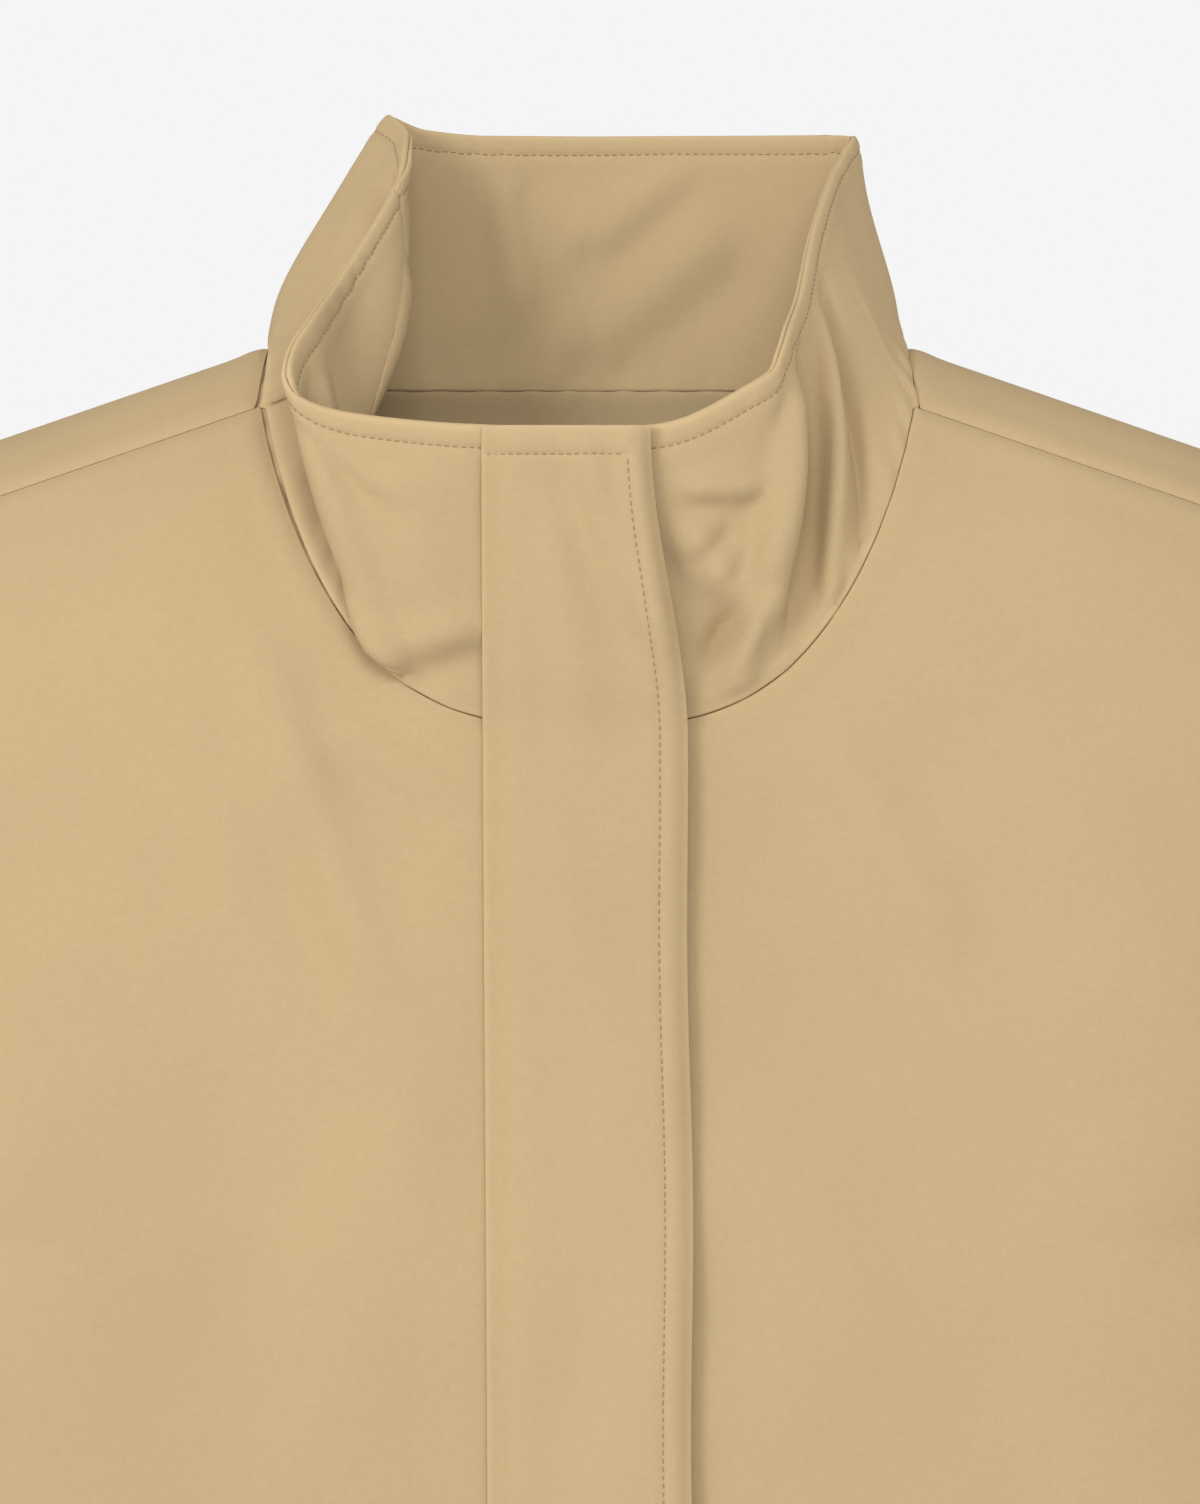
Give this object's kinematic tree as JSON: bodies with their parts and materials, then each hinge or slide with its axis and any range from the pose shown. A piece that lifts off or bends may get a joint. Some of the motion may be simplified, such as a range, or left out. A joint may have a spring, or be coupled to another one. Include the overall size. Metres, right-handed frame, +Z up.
{
  "type": "coat",
  "caption": "Hip-length woven coat with a stand collar, a zip front under a hinged storm flap, and set-in sleeves.",
  "frame": {"origin": "midway between the two points where the shoulder ridge meets the neck seam, where a hanger carries the coat", "axes": "+Z up as the coat hangs, -Y out of the front, +X towards the wearer's left"},
  "size_m": [0.85, 0.1486, 0.9309],
  "materials": {
    "shell_cloth": "matt tan woven cotton",
    "facing_cloth": "matt tan woven cotton, a shade darker",
    "lining_cloth": "smooth twill",
    "zip_tape": "herringbone tape",
    "grip_tape": "hook and loop pile",
    "zip_metal": "satin"
  },
  "bodies": {
    "root": {"back_panel": "shell_cloth", "back_yoke_facing": "facing_cloth", "collar_inner": "shell_cloth", "collar_outer": "shell_cloth", "flap_collar_end_facing": "facing_cloth", "flap_collar_end_outer": "shell_cloth", "front_facing_left": "facing_cloth", "front_facing_right": "facing_cloth", "front_panel_left": "shell_cloth", "front_panel_right": "shell_cloth", "hem_facing_back": "facing_cloth", "hem_facing_left": "facing_cloth", "hem_facing_right": "facing_cloth", "lining_back": "lining_cloth", "lining_left": "lining_cloth", "lining_right": "lining_cloth", "loop_patch_1": "grip_tape", "loop_patch_2": "grip_tape", "loop_patch_3": "grip_tape", "loop_patch_4": "grip_tape", "loop_patch_5": "grip_tape", "pocket_bag_left": "facing_cloth", "pocket_bag_right": "facing_cloth", "pocket_welt_left": "shell_cloth", "pocket_welt_right": "shell_cloth", "zip_bottom_box": "zip_metal", "zip_guard": "facing_cloth", "zip_tape_left": "zip_tape", "zip_tape_right": "zip_tape", "zip_teeth_left": "zip_metal", "zip_teeth_right": "zip_metal", "zip_top_stop_left": "zip_metal", "zip_top_stop_right": "zip_metal"},
    "storm_flap": {"hook_patch_1": "grip_tape", "hook_patch_2": "grip_tape", "hook_patch_3": "grip_tape", "hook_patch_4": "grip_tape", "hook_patch_5": "grip_tape", "storm_flap_facing": "facing_cloth", "storm_flap_outer": "shell_cloth"},
    "zip_slider": {"zip_slider": "zip_metal"},
    "zip_pull": {"zip_pull": "zip_metal"},
    "sleeve_left": {"cuff_facing_left": "facing_cloth", "sleeve_lining_left": "lining_cloth", "sleeve_top_left": "shell_cloth", "sleeve_under_left": "shell_cloth"},
    "sleeve_right": {"cuff_facing_right": "facing_cloth", "sleeve_lining_right": "lining_cloth", "sleeve_top_right": "shell_cloth", "sleeve_under_right": "shell_cloth"}
  },
  "joints": [
    {"name": "storm_flap_hinge", "type": "hinge", "parent": "root", "child": "storm_flap", "pos_m": [-0.0315, -0.064, -0.49], "axis": [0, 0, -1], "range_deg": [0, 150]},
    {"name": "zip_slide", "type": "slide", "parent": "root", "child": "zip_slider", "axis": [0, 0, -1], "range_m": [0, 0.62]},
    {"name": "zip_pull_swing", "type": "hinge", "parent": "zip_slider", "child": "zip_pull", "pos_m": [0, -0.0605, -0.135], "axis": [0, 1, 0], "range_deg": [-20, 20]},
    {"name": "sleeve_left_swing", "type": "hinge", "parent": "root", "child": "sleeve_left", "pos_m": [0.25, 0, -0.165], "axis": [-1, 0, 0], "range_deg": [-15, 60]},
    {"name": "sleeve_right_swing", "type": "hinge", "parent": "root", "child": "sleeve_right", "pos_m": [-0.25, 0, -0.165], "axis": [-1, 0, 0], "range_deg": [-15, 60]}
  ]
}
